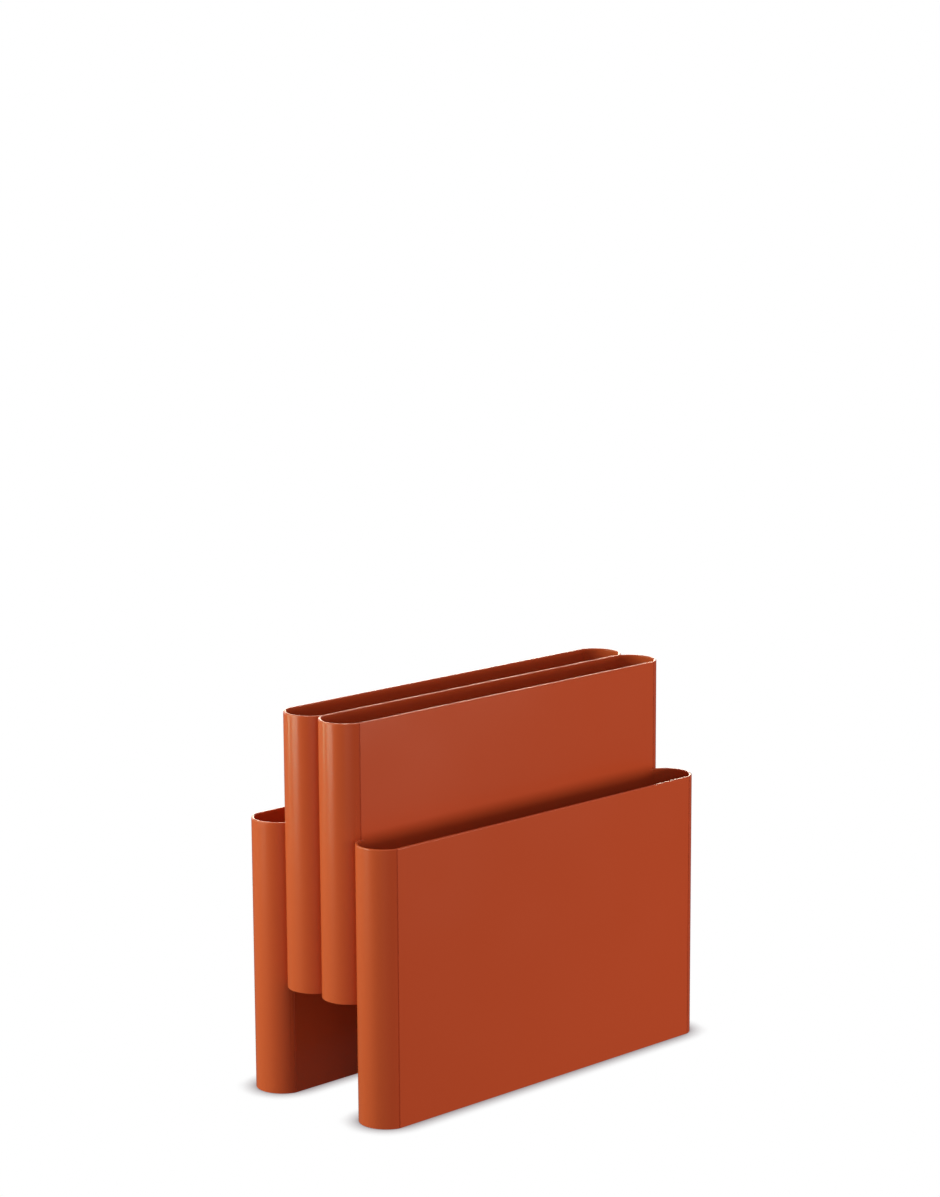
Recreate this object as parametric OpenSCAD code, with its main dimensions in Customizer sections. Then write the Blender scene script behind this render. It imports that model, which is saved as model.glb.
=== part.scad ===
// Magazine file holder with four upright pockets. The two outer pockets stand
// on the floor and carry the two raised inner pockets between them. Moulded
// walls, rounded ends and floors are welded together along lap joints.
// Millimetres. X runs along the pockets, -Y is the front, Z is up.
// The origin is on the floor, at the middle of the footprint.

/* [Pockets] */
// Length over the rounded ends
overall_length = 395; // [320:5:460]
// Height of one pocket, from its lower edge to its rim
pocket_height = 241; // [180:1:280]
// Depth of one pocket over its two flat walls
pocket_depth = 46.2; // [36:0.2:60]
// Height of the raised pockets above the floor
raise = 99; // [60:1:140]

/* [Walls] */
// Thickness of the flat walls and dividers
wall = 2.5; // [2.4:0.1:4]
// Angle by which a rounded end turns short of the flat wall
crease_angle = 17.3; // [0:0.1:22]
// Radius on the two edges of a rim
rim_round = 1; // [0.2:0.1:1]

/* [Floors] */
// Thickness of a pocket's floor
floor_thickness = 2.5; // [1.5:0.1:4]
// Height of a floor's underside above the pocket's lower edge
floor_recess = 4; // [2:0.5:10]

/* [Joints] */
// Length of the lap between a rounded end and a flat wall
lap_length = 4; // [2:0.5:8]
// Depth of the groove that a floor's edge sits in
groove_depth = 0.8; // [0.4:0.1:0.9]
// Play between a floor's edge and the bottom of its groove
floor_play = 0.05; // [0:0.01:0.2]

/* [Hidden] */
$fn = 128;

shell_color = [0.66, 0.25, 0.16];
floor_color = [0.52, 0.19, 0.12];

// Neighbouring pockets share one wall, so they stand a depth less a wall apart.
pitch = pocket_depth - wall;
// Half depths of a pocket, at its outer face, mid-wall and inner face
outer_half = pocket_depth / 2;
mid_half = outer_half - wall / 2;
inner_half = outer_half - wall;
// The rounded end's radius, the axis it is turned about and the seam plane
end_radius = outer_half / cos(crease_angle);
end_axis_x = overall_length / 2 - end_radius;
seam_offset = end_radius * sin(crease_angle);
seam_x = end_axis_x + seam_offset;
lap_x = seam_x - lap_length;

raised_top = raise + pocket_height;

// Pockets from the rear to the front
REAR = 0;
RAISED_REAR = 1;
RAISED_FRONT = 2;
FRONT = 3;
pocket_y = [1.5 * pitch, 0.5 * pitch, -0.5 * pitch, -1.5 * pitch];
pocket_z = [0, raise, raise, 0];

// Radius of the end arc that meets the seam plane at the given half depth
function arc_radius(half) = norm([half, seam_offset]);

// A block from corner to corner
module block(low, high) {
    translate(low) cube(high - low);
}

// Plan of a pocket: a straight middle and two arcs that end at the seams
module pocket_plan(half) {
    square([2 * seam_x, 2 * half], center = true);
    for (side = [-1, 1])
        intersection() {
            translate([side * end_axis_x, 0]) circle(r = arc_radius(half));
            translate([side * overall_length / 2, 0])
                square([overall_length - 2 * seam_x, 2 * pocket_depth], center = true);
        }
}

// The part of a plan between two distances from the middle, on the -X side
module left_strip(near, far) {
    intersection() {
        children();
        translate([-far, -pocket_depth]) square([far - near, 2 * pocket_depth]);
    }
}

// Space that a pocket's floor takes out of the walls around it
module floor_groove(pocket) {
    translate([0, pocket_y[pocket], pocket_z[pocket] + floor_recess])
        linear_extrude(floor_thickness) pocket_plan(inner_half + groove_depth);
}

// Section of what rounding takes off one edge of a rim, the edge at the origin
module rim_bite() {
    difference() {
        translate([-rim_round, -rim_round]) square(2 * rim_round);
        translate([-rim_round, -rim_round]) circle(r = rim_round);
    }
}

// What rounding takes off the rim of a flat wall
module wall_rim_bites(middle_y, top_z) {
    translate([-seam_x, middle_y, top_z]) rotate([90, 0, 90])
        linear_extrude(2 * seam_x)
            for (face = [0, 1])
                mirror([face, 0]) translate([wall / 2, 0]) rim_bite();
}

// Full ring that a pocket's rounded end is a part of, with its rounded rim
module end_ring() {
    inner_radius = arc_radius(inner_half);
    translate([-end_axis_x, 0, 0]) rotate_extrude() difference() {
        translate([inner_radius, 0]) square([end_radius - inner_radius, pocket_height]);
        translate([end_radius, pocket_height]) rim_bite();
        translate([inner_radius, pocket_height]) mirror([1, 0]) rim_bite();
    }
}

// What lies beyond the middle of the wall shared with a neighbouring pocket
module neighbour_side(pocket, neighbour) {
    middle_y = (pocket_y[pocket] + pocket_y[neighbour]) / 2;
    away = sign(pocket_y[neighbour] - pocket_y[pocket]);
    band_low = max(pocket_z[pocket], pocket_z[neighbour]);
    band_high = min(pocket_z[pocket], pocket_z[neighbour]) + pocket_height;
    translate([-overall_length, middle_y + min(0, away * pocket_depth), band_low])
        cube([overall_length, pocket_depth, band_high - band_low]);
}

// Rounded end on the -X side, with the square-edged lips that lap behind the
// flat walls on both sides of the pocket
module left_end(pocket) {
    difference() {
        translate([0, pocket_y[pocket], pocket_z[pocket]]) {
            intersection() {
                end_ring();
                block([-overall_length, -pocket_depth, 0], [-seam_x, pocket_depth, pocket_height]);
            }
            linear_extrude(pocket_height) left_strip(lap_x, seam_x) difference() {
                pocket_plan(mid_half);
                pocket_plan(inner_half);
            }
        }
        if (pocket > REAR) neighbour_side(pocket, pocket - 1);
        if (pocket < FRONT) neighbour_side(pocket, pocket + 1);
        floor_groove(pocket);
    }
}

// Flat wall that closes the rear pocket at the back
module outer_wall() {
    y = pocket_y[REAR];
    difference() {
        union() {
            block([-lap_x, y + inner_half, 0], [lap_x, y + outer_half, pocket_height]);
            block([-seam_x, y + mid_half, 0], [seam_x, y + outer_half, pocket_height]);
        }
        wall_rim_bites(y + mid_half, pocket_height);
        floor_groove(REAR);
    }
}

// Divider between a low pocket and a raised one. It is the low pocket's wall
// at the bottom, the raised pocket's wall at the top, and both between.
module stepped_divider() {
    y = pitch;
    difference() {
        union() {
            block([-lap_x, y - wall / 2, 0], [lap_x, y + wall / 2, raised_top]);
            block([-seam_x, y - wall / 2, 0], [seam_x, y, raise]);
            block([-seam_x, y, pocket_height], [seam_x, y + wall / 2, raised_top]);
        }
        wall_rim_bites(y, raised_top);
        floor_groove(REAR);
        floor_groove(RAISED_REAR);
    }
}

module pocket_floor(pocket) {
    translate([0, pocket_y[pocket], pocket_z[pocket] + floor_recess])
        linear_extrude(floor_thickness) pocket_plan(inner_half + groove_depth - floor_play);
}

module back_wall() color(shell_color) outer_wall();
module front_wall() color(shell_color) mirror([0, 1, 0]) outer_wall();
module rear_divider() color(shell_color) stepped_divider();
module front_divider() color(shell_color) mirror([0, 1, 0]) stepped_divider();

// Divider between the two raised pockets
module centre_divider() {
    color(shell_color) difference() {
        block([-lap_x, -wall / 2, raise], [lap_x, wall / 2, raised_top]);
        wall_rim_bites(0, raised_top);
        floor_groove(RAISED_REAR);
        floor_groove(RAISED_FRONT);
    }
}

module rear_left_end() color(shell_color) left_end(REAR);
module rear_right_end() color(shell_color) mirror([1, 0, 0]) left_end(REAR);
module raised_rear_left_end() color(shell_color) left_end(RAISED_REAR);
module raised_rear_right_end() color(shell_color) mirror([1, 0, 0]) left_end(RAISED_REAR);
module raised_front_left_end() color(shell_color) left_end(RAISED_FRONT);
module raised_front_right_end() color(shell_color) mirror([1, 0, 0]) left_end(RAISED_FRONT);
module front_left_end() color(shell_color) left_end(FRONT);
module front_right_end() color(shell_color) mirror([1, 0, 0]) left_end(FRONT);

module rear_floor() color(floor_color) pocket_floor(REAR);
module raised_rear_floor() color(floor_color) pocket_floor(RAISED_REAR);
module raised_front_floor() color(floor_color) pocket_floor(RAISED_FRONT);
module front_floor() color(floor_color) pocket_floor(FRONT);

back_wall();
rear_divider();
centre_divider();
front_divider();
front_wall();
rear_left_end();
rear_right_end();
raised_rear_left_end();
raised_rear_right_end();
raised_front_left_end();
raised_front_right_end();
front_left_end();
front_right_end();
rear_floor();
raised_rear_floor();
raised_front_floor();
front_floor();
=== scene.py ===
"""A four-pocket magazine file holder in moulded plastic, put together piece by piece."""
import math

import bmesh
import bpy
from mathutils import Matrix, Vector


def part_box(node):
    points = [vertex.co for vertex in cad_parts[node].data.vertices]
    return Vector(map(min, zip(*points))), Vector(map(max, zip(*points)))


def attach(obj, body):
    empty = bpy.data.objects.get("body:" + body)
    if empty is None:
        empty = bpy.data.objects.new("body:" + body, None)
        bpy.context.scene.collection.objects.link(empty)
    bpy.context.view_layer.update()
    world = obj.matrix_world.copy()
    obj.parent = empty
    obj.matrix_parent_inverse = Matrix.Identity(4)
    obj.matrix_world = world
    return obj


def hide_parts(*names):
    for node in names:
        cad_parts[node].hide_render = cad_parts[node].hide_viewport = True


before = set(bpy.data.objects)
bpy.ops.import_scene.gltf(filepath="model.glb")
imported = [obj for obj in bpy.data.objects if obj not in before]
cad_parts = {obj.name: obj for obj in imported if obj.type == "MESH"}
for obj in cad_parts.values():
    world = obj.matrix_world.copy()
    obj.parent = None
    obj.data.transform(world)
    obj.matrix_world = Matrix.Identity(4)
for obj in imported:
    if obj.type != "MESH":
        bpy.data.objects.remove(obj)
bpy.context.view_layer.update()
bpy.ops.object.select_all(action="DESELECT")


# ---------------------------------------------------------------- front and back walls
# The two sheets that close the holder at the front and the back, injection moulded in satin ABS,
# 2.5 mm thick. Each has a rounded rim, a groove along the foot for the edge of its pocket's floor,
# and a thin tongue down each end, where the rounded end's lip laps behind it and is welded.

wall_low, wall_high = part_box("front_wall")
wall_thickness = wall_high.y - wall_low.y
wall_middle = (wall_low.y + wall_high.y) / 2
pocket_height = wall_high.z
seam_x = wall_high.x
lap_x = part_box("centre_divider")[1].x
lap_length = seam_x - lap_x
floor_play = 0.00005
groove_depth = wall_high.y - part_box("front_floor")[0].y + floor_play
rim_radius = 0.0010
rim_segments = 6
foot_radius = 0.0004
foot_segments = 3
seam_ease = 0.0007
tolerance = 0.00002
cut_precision = 0.0000001
weld_distance = 0.000001
# A face looks squarely along an axis when its normal's share of that axis is above this.
squarely = 0.9
crease_angle = math.radians(30)


def same(a, b):
    """True where two measures agree to within a moulding's tolerance."""
    return abs(a - b) < tolerance


def block(name, low, high):
    """Add a cube between two corners and leave it open in edit mode."""
    bpy.ops.mesh.primitive_cube_add(size=1, location=(low + high) / 2, scale=high - low)
    piece = bpy.context.object
    bpy.ops.object.transform_apply(location=True, rotation=True, scale=True)
    piece.name = name
    piece.data.name = name
    bpy.ops.object.mode_set(mode="EDIT")
    return piece


def pick_corners(piece, wanted):
    """Select the corners that are wanted."""
    mesh = bmesh.from_edit_mesh(piece.data)
    bpy.ops.mesh.select_mode(type="VERT")
    bpy.ops.mesh.select_all(action="DESELECT")
    for corner in mesh.verts:
        corner.select_set(wanted(corner.co))
    bmesh.update_edit_mesh(piece.data)


def pick_faces(piece, wanted):
    """Select the faces whose centre and normal are wanted."""
    mesh = bmesh.from_edit_mesh(piece.data)
    bpy.ops.mesh.select_mode(type="FACE")
    bpy.ops.mesh.select_all(action="DESELECT")
    for face in mesh.faces:
        face.select_set(wanted(face.calc_center_median(), face.normal))
    bmesh.update_edit_mesh(piece.data)


def pick_edges(piece, wanted):
    """Select the edges whose two ends are wanted."""
    mesh = bmesh.from_edit_mesh(piece.data)
    bpy.ops.mesh.select_mode(type="EDGE")
    bpy.ops.mesh.select_all(action="DESELECT")
    for edge in mesh.edges:
        edge.select_set(wanted(edge.verts[0].co, edge.verts[1].co))
    bmesh.update_edit_mesh(piece.data)


def cut(place, across, discard=False):
    """Cut the selected faces along a plane, and if asked discard the far side and fill the cut."""
    bpy.ops.mesh.bisect(
        plane_co=place,
        plane_no=across,
        use_fill=discard,
        clear_outer=discard,
        threshold=cut_precision,
    )


def push(x=0, y=0, z=0):
    """Extrude the selected faces by a distance."""
    bpy.ops.mesh.extrude_region_move(TRANSFORM_OT_translate={"value": (x, y, z)})


def round_edges(radius, segments):
    """Round the selected edges."""
    bpy.ops.mesh.bevel(offset=radius, segments=segments, affect="EDGES", clamp_overlap=False)


def round_long_edges(piece, level, radius, segments):
    """Round the two outer edges that run along a sheet at one level."""
    corners = bmesh.from_edit_mesh(piece.data).verts
    low_y = min(corner.co.y for corner in corners)
    high_y = max(corner.co.y for corner in corners)
    pick_edges(
        piece,
        lambda a, b: same(a.z, level)
        and same(b.z, level)
        and same(a.y, b.y)
        and (same(a.y, low_y) or same(a.y, high_y)),
    )
    round_edges(radius, segments)


def cut_floor_groove(piece, facing, floor_node):
    """Sink a groove in the face on one side of a sheet, at the level of a pocket's floor."""
    floor_low, floor_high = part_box(floor_node)
    for level in (floor_low.z, floor_high.z):
        pick_faces(piece, lambda centre, normal: normal.y * facing > squarely and abs(centre.x) < lap_x)
        cut((0, 0, level), (0, 0, 1))
    pick_faces(
        piece,
        lambda centre, normal: normal.y * facing > squarely
        and abs(centre.x) < lap_x
        and floor_low.z < centre.z < floor_high.z,
    )
    push(y=-facing * groove_depth)


def ease_corner(piece, corner_x, corner_y, out_x, out_y):
    """Plane off an upright outer corner at a seam, which then shows as a fine line."""
    outward = Vector((out_x, out_y, 0)).normalized()
    corner = Vector((corner_x, corner_y, 0))
    bpy.ops.mesh.select_all(action="SELECT")
    cut(corner - outward * seam_ease / math.sqrt(2), outward, discard=True)


def copied(piece, name, mirror=(1, 1, 1), shift=(0, 0, 0)):
    """A copy with its own mesh, mirrored and moved, left open in edit mode.
    """
    bpy.ops.object.select_all(action="DESELECT")
    piece.select_set(True)
    bpy.context.view_layer.objects.active = piece
    bpy.ops.object.duplicate(linked=False)
    copy = bpy.context.object
    copy.name = name
    copy.data.name = name
    copy.scale = mirror
    bpy.ops.object.transform_apply(location=False, rotation=False, scale=True)
    bpy.ops.object.mode_set(mode="EDIT")
    bpy.ops.mesh.select_all(action="SELECT")
    bpy.ops.transform.translate(value=shift)
    return copy


def settle(piece, node, plastic):
    """Weld doubled corners, smooth the shading and hang the piece in its node's place."""
    bpy.ops.mesh.select_all(action="SELECT")
    bpy.ops.mesh.remove_doubles(threshold=weld_distance)
    bpy.ops.mesh.normals_make_consistent(inside=False)
    bpy.ops.object.mode_set(mode="OBJECT")
    bpy.ops.object.shade_smooth_by_angle(angle=crease_angle)
    flat_faces = piece.modifiers.new("Keep flat faces flat", "WEIGHTED_NORMAL")
    flat_faces.keep_sharp = True
    bpy.ops.object.modifier_apply(modifier=flat_faces.name)
    piece.data.materials.clear()
    piece.data.materials.append(plastic)
    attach(piece, "root")
    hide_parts(node)
    piece.select_set(False)


def moulded_abs(name, colour, deeper, satin, batch):
    """Moulded ABS: pigment that drifts a little, a slightly uneven satin and a soft orange peel."""
    noise_low = 0.3
    noise_high = 0.7
    satin_spread = 0.015
    plastic = bpy.data.materials.new(name)
    plastic.use_nodes = True
    nodes = plastic.node_tree.nodes
    links = plastic.node_tree.links
    shader = nodes["Principled BSDF"]
    shader.inputs["Specular IOR Level"].default_value = 0.25

    place = nodes.new("ShaderNodeTexCoord")
    own_pattern = nodes.new("ShaderNodeMapping")
    own_pattern.inputs["Location"].default_value = (batch, 2 * batch, 3 * batch)
    links.new(place.outputs["Object"], own_pattern.inputs["Vector"])

    def noise(scale, detail):
        texture = nodes.new("ShaderNodeTexNoise")
        texture.inputs["Scale"].default_value = scale
        texture.inputs["Detail"].default_value = detail
        links.new(own_pattern.outputs["Vector"], texture.inputs["Vector"])
        return texture.outputs["Fac"]

    pigment = nodes.new("ShaderNodeValToRGB")
    pigment.color_ramp.elements[0].position = noise_low
    pigment.color_ramp.elements[0].color = (*deeper, 1)
    pigment.color_ramp.elements[1].position = noise_high
    pigment.color_ramp.elements[1].color = (*colour, 1)
    links.new(noise(6, 1), pigment.inputs["Fac"])
    links.new(pigment.outputs["Color"], shader.inputs["Base Color"])

    gloss = nodes.new("ShaderNodeMapRange")
    gloss.inputs["From Min"].default_value = noise_low
    gloss.inputs["From Max"].default_value = noise_high
    gloss.inputs["To Min"].default_value = satin - satin_spread
    gloss.inputs["To Max"].default_value = satin + satin_spread
    links.new(noise(14, 1), gloss.inputs["Value"])
    links.new(gloss.outputs["Result"], shader.inputs["Roughness"])

    peel = nodes.new("ShaderNodeBump")
    peel.inputs["Strength"].default_value = 0.3
    peel.inputs["Distance"].default_value = 0.00002
    links.new(noise(150, 0), peel.inputs["Height"])
    links.new(peel.outputs["Normal"], shader.inputs["Normal"])
    return plastic


sheet_plastic = moulded_abs(
    "terracotta_sheet_plastic", (0.522, 0.0710, 0.0218), (0.510, 0.0690, 0.0210), 0.22, 0.0
)
front_wall = block(
    "front_wall_sheet",
    Vector((-lap_x, wall_low.y, 0)),
    Vector((lap_x, wall_high.y, pocket_height)),
)
pick_faces(front_wall, lambda centre, normal: abs(normal.x) > squarely)
cut((0, wall_middle, 0), (0, 1, 0))
for side in (-1, 1):
    pick_faces(
        front_wall, lambda centre, normal: normal.x * side > squarely and centre.y < wall_middle
    )
    push(x=side * lap_length)
cut_floor_groove(front_wall, 1, "front_floor")
round_long_edges(front_wall, pocket_height, rim_radius, rim_segments)
round_long_edges(front_wall, 0, foot_radius, foot_segments)
for side in (-1, 1):
    ease_corner(front_wall, side * seam_x, wall_low.y, side, -1)
settle(front_wall, "front_wall", sheet_plastic)

back_wall = copied(front_wall, "back_wall_sheet", mirror=(1, -1, 1))
settle(back_wall, "back_wall", sheet_plastic)


# ---------------------------------------------------------------- rear and front dividers
# The tall sheets between a low pocket and a raised one, in the same satin ABS. Below, each is the
# low pocket's wall, and above the low rim only the raised pocket's, so its welding tongues change
# from one half of the sheet to the other. A groove in each face takes the floor on that side.

divider_low, divider_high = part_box("rear_divider")
divider_middle = (divider_low.y + divider_high.y) / 2
raised_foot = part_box("centre_divider")[0].z
raised_top = divider_high.z

rear_divider = block(
    "rear_divider_sheet",
    Vector((-lap_x, divider_low.y, 0)),
    Vector((lap_x, divider_high.y, raised_top)),
)
for place, across in (
    ((0, divider_middle, 0), (0, 1, 0)),
    ((0, 0, raised_foot), (0, 0, 1)),
    ((0, 0, pocket_height), (0, 0, 1)),
):
    pick_faces(rear_divider, lambda centre, normal: abs(normal.x) > squarely)
    cut(place, across)
for side in (-1, 1):
    pick_faces(
        rear_divider,
        lambda centre, normal: normal.x * side > squarely
        and (
            (centre.z < raised_foot and centre.y < divider_middle)
            or (centre.z > pocket_height and centre.y > divider_middle)
        ),
    )
    push(x=side * lap_length)
cut_floor_groove(rear_divider, 1, "rear_floor")
cut_floor_groove(rear_divider, -1, "raised_rear_floor")
round_long_edges(rear_divider, raised_top, rim_radius, rim_segments)
round_long_edges(rear_divider, 0, foot_radius, foot_segments)
for side in (-1, 1):
    ease_corner(rear_divider, side * seam_x, divider_low.y, side, -1)
    ease_corner(rear_divider, side * seam_x, divider_high.y, side, 1)
settle(rear_divider, "rear_divider", sheet_plastic)

front_divider = copied(rear_divider, "front_divider_sheet", mirror=(1, -1, 1))
settle(front_divider, "front_divider", sheet_plastic)


# ---------------------------------------------------------------- centre divider
# The one sheet that the two raised pockets share, in the same satin ABS. Both of its ends are cut
# square and are welded between the lips of the raised pockets' rounded ends.

centre_low, centre_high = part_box("centre_divider")
centre_divider = block("centre_divider_sheet", centre_low, centre_high)
cut_floor_groove(centre_divider, 1, "raised_rear_floor")
cut_floor_groove(centre_divider, -1, "raised_front_floor")
round_long_edges(centre_divider, raised_top, rim_radius, rim_segments)
round_long_edges(centre_divider, raised_foot, foot_radius, foot_segments)
settle(centre_divider, "centre_divider", sheet_plastic)


# ---------------------------------------------------------------- rounded ends of the low pockets
# Four half tubes that close the pockets standing on the floor, moulded in the same ABS. They meet
# the flat sheets at a slight crease, and a thin lip on each side laps behind the sheet and is
# welded there. Beside a raised pocket they stop at the middle of the wall that both pockets share.

pocket_half = (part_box("back_wall")[1].y - divider_low.y) / 2
low_pocket_y = divider_low.y + pocket_half
half_length = -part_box("rear_left_end")[0].x
# The arc that is pocket_half wide at the seam and reaches half_length at its crown.
crown_depth = half_length - seam_x
end_radius = (pocket_half ** 2 + crown_depth ** 2) / (2 * crown_depth)
end_axis_x = half_length - end_radius
end_steps = 72


def arc_radius(half_width):
    """Radius about the end's axis of an arc that is this half width at the seam."""
    return math.hypot(half_width, seam_x - end_axis_x)


def half_tube(name, middle, foot, floor_node):
    """A pocket's left end: the wall's upright section, spun half a turn and cut square."""
    floor_low, floor_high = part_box(floor_node)
    inner_radius = arc_radius(pocket_half - wall_thickness)
    groove_y = middle + arc_radius(pocket_half - wall_thickness + groove_depth)
    width = end_radius - inner_radius
    bpy.ops.mesh.primitive_plane_add(
        size=1,
        location=(-end_axis_x, middle + inner_radius + width / 2, foot + pocket_height / 2),
        rotation=(0, math.pi / 2, 0),
    )
    piece = bpy.context.object
    piece.name = name
    piece.data.name = name
    piece.scale = (pocket_height, width, 1)
    bpy.ops.object.transform_apply(location=True, rotation=True, scale=True)
    bpy.ops.object.mode_set(mode="EDIT")
    for level in (floor_low.z, floor_high.z):
        bpy.ops.mesh.select_all(action="SELECT")
        cut((0, 0, level), (0, 0, 1))
    pick_faces(piece, lambda centre, normal: floor_low.z < centre.z < floor_high.z)
    cut((0, groove_y, 0), (0, 1, 0))
    pick_faces(
        piece,
        lambda centre, normal: floor_low.z < centre.z < floor_high.z and centre.y < groove_y,
    )
    bpy.ops.mesh.delete(type="FACE")
    for level, radius, segments in (
        (foot + pocket_height, rim_radius, rim_segments),
        (foot, foot_radius, foot_segments),
    ):
        pick_corners(piece, lambda place: same(place.z, level))
        bpy.ops.mesh.bevel(
            offset=radius, segments=segments, affect="VERTICES", clamp_overlap=False
        )
    bpy.ops.mesh.select_all(action="SELECT")
    bpy.ops.mesh.spin(
        steps=end_steps, angle=-math.pi, center=(-end_axis_x, middle, 0), axis=(0, 0, 1)
    )
    bpy.ops.mesh.select_all(action="SELECT")
    cut((-seam_x, 0, 0), (1, 0, 0), discard=True)
    bpy.ops.mesh.select_all(action="SELECT")
    bpy.ops.mesh.normals_make_consistent(inside=False)
    return piece


def close_flat(piece, in_plane):
    """Close the part of an opening whose edge lies flat in one plane."""
    mesh = bmesh.from_edit_mesh(piece.data)
    bpy.ops.mesh.select_mode(type="EDGE")
    bpy.ops.mesh.select_all(action="DESELECT")
    for edge in mesh.edges:
        edge.select_set(
            len(edge.link_faces) < 2 and in_plane(edge.verts[0].co) and in_plane(edge.verts[1].co)
        )
    bmesh.update_edit_mesh(piece.data)
    bpy.ops.mesh.edge_face_add()


def leave_room(piece, level, upward, shared_y, outward):
    """Cut the wall back to its middle on one side of a level, for the neighbouring pocket's end."""
    for place, across in (((0, 0, level), (0, 0, 1)), ((0, shared_y, 0), (0, 1, 0))):
        bpy.ops.mesh.select_all(action="SELECT")
        cut(place, across)
    pick_faces(
        piece,
        lambda centre, normal: (centre.z - level) * upward > 0
        and (centre.y - shared_y) * outward > 0,
    )
    bpy.ops.mesh.delete(type="FACE")
    # The step's inner edge, from the seam to the outer face, then the faces on both sides of it.
    pick_corners(piece, lambda place: same(place.z, level) and same(place.y, shared_y))
    bpy.ops.mesh.edge_face_add()
    close_flat(piece, lambda place: same(place.z, level))
    close_flat(piece, lambda place: same(place.y, shared_y))


def add_lips(piece, middle):
    """Ease the seams' outer corners, then extrude the inner half of both cut ends into lips."""
    lip_half = pocket_half - wall_thickness / 2
    for side in (-1, 1):
        ease_corner(piece, -seam_x, middle + side * pocket_half, 1, side)
    for side in (-1, 1):
        pick_faces(piece, lambda centre, normal: same(centre.x, -seam_x) and normal.x > squarely)
        cut((0, middle + side * lip_half, 0), (0, 1, 0))
    pick_faces(
        piece,
        lambda centre, normal: same(centre.x, -seam_x)
        and normal.x > squarely
        and abs(centre.y - middle) < lip_half,
    )
    push(x=lap_length)


def four_corners(piece, nodes, plastic):
    """Hang a finished rear left end, and its mirrored copies at the other three corners."""
    settle(piece, nodes[0], plastic)
    for node, mirror in zip(nodes[1:], ((-1, 1, 1), (1, -1, 1), (-1, -1, 1))):
        settle(copied(piece, node + "_tube", mirror=mirror), node, plastic)


end_plastic = moulded_abs(
    "terracotta_end_plastic", (0.515, 0.0700, 0.0215), (0.503, 0.0680, 0.0207), 0.23, 4.0
)
rear_left_end = half_tube("rear_left_end_tube", low_pocket_y, 0, "rear_floor")
leave_room(rear_left_end, raised_foot, 1, divider_middle, -1)
add_lips(rear_left_end, low_pocket_y)
four_corners(
    rear_left_end,
    ("rear_left_end", "rear_right_end", "front_left_end", "front_right_end"),
    end_plastic,
)


# ---------------------------------------------------------------- rounded ends of the raised pockets
# The same half tubes in the same ABS, carried clear of the floor. The two pockets' ends meet face
# to face at the middle of the centre divider. Their outer sides stand against the low pockets'
# ends up to the low rims, and above those are whole.

raised_pocket_y = divider_high.y - pocket_half
raised_left_end = half_tube(
    "raised_rear_left_end_tube", raised_pocket_y, raised_foot, "raised_rear_floor"
)
leave_room(raised_left_end, pocket_height, -1, divider_middle, 1)
bpy.ops.mesh.select_all(action="SELECT")
cut((0, 0, 0), (0, -1, 0), discard=True)
add_lips(raised_left_end, raised_pocket_y)
four_corners(
    raised_left_end,
    (
        "raised_rear_left_end",
        "raised_rear_right_end",
        "raised_front_left_end",
        "raised_front_right_end",
    ),
    end_plastic,
)


# ---------------------------------------------------------------- pocket floors
# Four plates, moulded on their own, that the magazines stand on, 2.5 mm thick, in duller ABS.
# A plate's edge sits in the groove round the foot of its pocket and is welded to it.

floor_plastic = moulded_abs(
    "terracotta_floor_plastic", (0.470, 0.0570, 0.0170), (0.455, 0.0550, 0.0163), 0.40, 9.0
)
floor_low, floor_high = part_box("rear_floor")
floor_half = (floor_high.y - floor_low.y) / 2
floor_edge = 0.0003
floor_edge_segments = 2
bpy.ops.mesh.primitive_cylinder_add(
    vertices=2 * end_steps,
    radius=arc_radius(floor_half),
    depth=floor_high.z - floor_low.z,
    location=(-end_axis_x, low_pocket_y, (floor_low.z + floor_high.z) / 2),
)
rear_floor = bpy.context.object
bpy.ops.object.transform_apply(location=True, rotation=True, scale=True)
rear_floor.name = "rear_floor_plate"
rear_floor.data.name = "rear_floor_plate"
bpy.ops.object.mode_set(mode="EDIT")
cut((-seam_x, 0, 0), (1, 0, 0), discard=True)
pick_faces(rear_floor, lambda centre, normal: same(centre.x, -seam_x) and abs(normal.x) > squarely)
push(x=seam_x)
pick_faces(rear_floor, lambda centre, normal: same(centre.x, 0) and abs(normal.x) > squarely)
bpy.ops.mesh.delete(type="FACE")
bpy.ops.object.mode_set(mode="OBJECT")
right_half = rear_floor.modifiers.new("Right half", "MIRROR")
right_half.merge_threshold = tolerance
bpy.ops.object.modifier_apply(modifier=right_half.name)
bpy.ops.object.mode_set(mode="EDIT")
pick_edges(rear_floor, lambda a, b: same(a.z, b.z) and not (same(a.x, 0) and same(b.x, 0)))
round_edges(floor_edge, floor_edge_segments)
settle(rear_floor, "rear_floor", floor_plastic)
for node in ("raised_rear_floor", "raised_front_floor", "front_floor"):
    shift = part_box(node)[0] - floor_low
    plate = copied(rear_floor, node + "_plate", shift=(0, shift.y, shift.z))
    settle(plate, node, floor_plastic)


# ---------------------------------------------------------------- studio floor and backdrop
# A white floor that runs out to a white cove all round. Both glow by themselves and only the camera
# sees them, so the lamps cast no shadow on them and they light nothing. Where the holder stands close
# to the floor, a contact shadow is painted into the glow, darker the less open the floor is round it.

contact_reach = 0.02
studio_radius = 12

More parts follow.
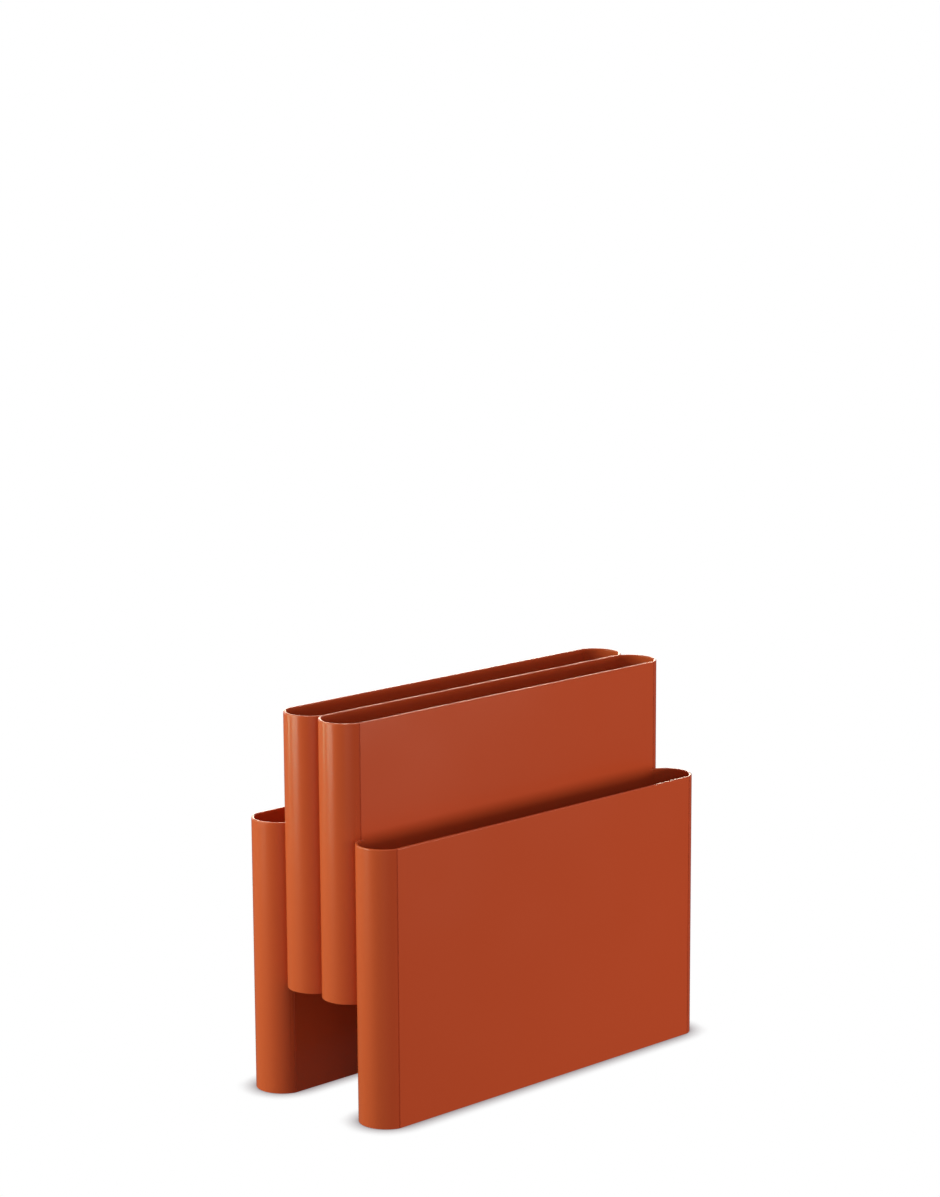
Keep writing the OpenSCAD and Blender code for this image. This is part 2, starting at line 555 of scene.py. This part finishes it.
bpy.ops.mesh.primitive_circle_add(vertices=96, radius=studio_radius, fill_type="NGON")
studio_floor = bpy.context.object
studio_floor.name = "studio_floor"
bpy.ops.mesh.primitive_uv_sphere_add(segments=64, ring_count=32, radius=studio_radius)
studio_cove = bpy.context.object
studio_cove.name = "studio_cove"
for surface in (studio_floor, studio_cove):
    paint = bpy.data.materials.new(surface.name + "_paint")
    paint.use_nodes = True
    paint_nodes = paint.node_tree.nodes
    paint_links = paint.node_tree.links
    white = paint_nodes["Principled BSDF"]
    white.inputs["Base Color"].default_value = (0, 0, 0, 1)
    white.inputs["Specular IOR Level"].default_value = 0
    white.inputs["Emission Strength"].default_value = 1.0
    openness = paint_nodes.new("ShaderNodeAmbientOcclusion")
    openness.inputs["Distance"].default_value = contact_reach
    openness.samples = 16
    # A painted contact shadow: the glow turns greyish pink where the holder closes in, and stays white
    # in the open.
    painted_contact_shadow = paint_nodes.new("ShaderNodeValToRGB")
    painted_contact_shadow.color_ramp.elements[0].position = 0.45
    painted_contact_shadow.color_ramp.elements[0].color = (0.30, 0.25, 0.26, 1)
    painted_contact_shadow.color_ramp.elements[1].position = 0.95
    painted_contact_shadow.color_ramp.elements[1].color = (1, 1, 1, 1)
    paint_links.new(openness.outputs["AO"], painted_contact_shadow.inputs["Fac"])
    paint_links.new(painted_contact_shadow.outputs["Color"], white.inputs["Emission Color"])
    surface.data.materials.append(paint)
    surface.visible_diffuse = False
    surface.visible_glossy = False
    surface.visible_shadow = False


# ---------------------------------------------------------------- studio lights
# Seven soft boxes round the table: a small one low in front on the right and a weak one on the left;
# three tall, narrow, greenish ones on the left and behind, for the streak down each rounded end; a
# broad weak one behind; and a small, warm, strong one behind on the right, for the rims.


def softbox(name, place, target, width, height, brightness, colour=(1, 1, 1)):
    """A rectangular soft box that faces its target."""
    bpy.ops.object.light_add(type="AREA", location=place)
    lamp = bpy.context.object
    lamp.name = name
    lamp.data.shape = "RECTANGLE"
    lamp.data.size = width
    lamp.data.size_y = height
    lamp.data.energy = brightness * math.pi * width * height
    lamp.data.color = colour
    lamp.rotation_euler = (Vector(place) - Vector(target)).to_track_quat("Z", "Y").to_euler()
    lamp.visible_camera = False


softbox("front_low", (1.0, -1.96, 0.3), (0, 0, 0.3), 0.7, 0.6, 18.4, (1.0, 0.94, 0.76))
softbox("left_low", (-1.5, -1.6, 0.3), (0, 0, 0.3), 1.0, 0.6, 1.9)
softbox("left_strip", (-1.52, 0.49, 0.75), (0, 0, 0.75), 0.35, 1.5, 10.6, (0.80, 1.0, 0.82))
softbox("left_mid_strip", (-1.39, 0.80, 0.75), (0, 0, 0.75), 0.25, 1.5, 12.5, (0.60, 1.0, 0.75))
softbox("left_rear_strip", (-0.98, 1.26, 0.75), (0, 0, 0.75), 0.25, 1.5, 11.0, (0.42, 1.0, 0.65))
softbox("back_low", (0.1, 2.2, 0.45), (0, 0, 0.35), 1.8, 0.9, 2.0)
softbox("right_rear", (1.5, 1.6, 0.45), (0, 0, 0.35), 1.0, 0.5, 15.0, (1.0, 0.78, 0.6))

# The white room all round is dim above the floor, and dimmer still below.
studio = bpy.data.worlds.new("studio")
studio.use_nodes = True
sky_nodes = studio.node_tree.nodes
sky_links = studio.node_tree.links
direction = sky_nodes.new("ShaderNodeTexCoord")
height = sky_nodes.new("ShaderNodeSeparateXYZ")
room = sky_nodes.new("ShaderNodeMapRange")
room.inputs["From Min"].default_value = -0.02
room.inputs["From Max"].default_value = 0.02
room.inputs["To Min"].default_value = 0.10
room.inputs["To Max"].default_value = 0.42
sky_links.new(direction.outputs["Generated"], height.inputs["Vector"])
sky_links.new(height.outputs["Z"], room.inputs["Value"])
sky_links.new(room.outputs["Result"], sky_nodes["Background"].inputs["Color"])
bpy.context.scene.world = studio


# ---------------------------------------------------------------- camera
# A long lens a little above the rims, looking across the front left corner, with the holder low
# in a tall frame.

distance = 2.876
facing = (
    Matrix.Rotation(math.radians(-44.55), 4, "Z")
    @ Matrix.Rotation(math.radians(90 - 11.37), 4, "X")
    @ Matrix.Rotation(math.radians(-0.32), 4, "Z")
)
bpy.ops.object.camera_add()
camera = bpy.context.object
camera.matrix_world = facing @ Matrix.Translation((-0.00763, 0.34633, distance))
camera.data.sensor_width = 36
camera.data.lens = 96.79
camera.data.shift_y = 0.0589
camera.data.clip_end = 50
bpy.context.scene.camera = camera
bpy.context.scene.view_settings.view_transform = "Standard"
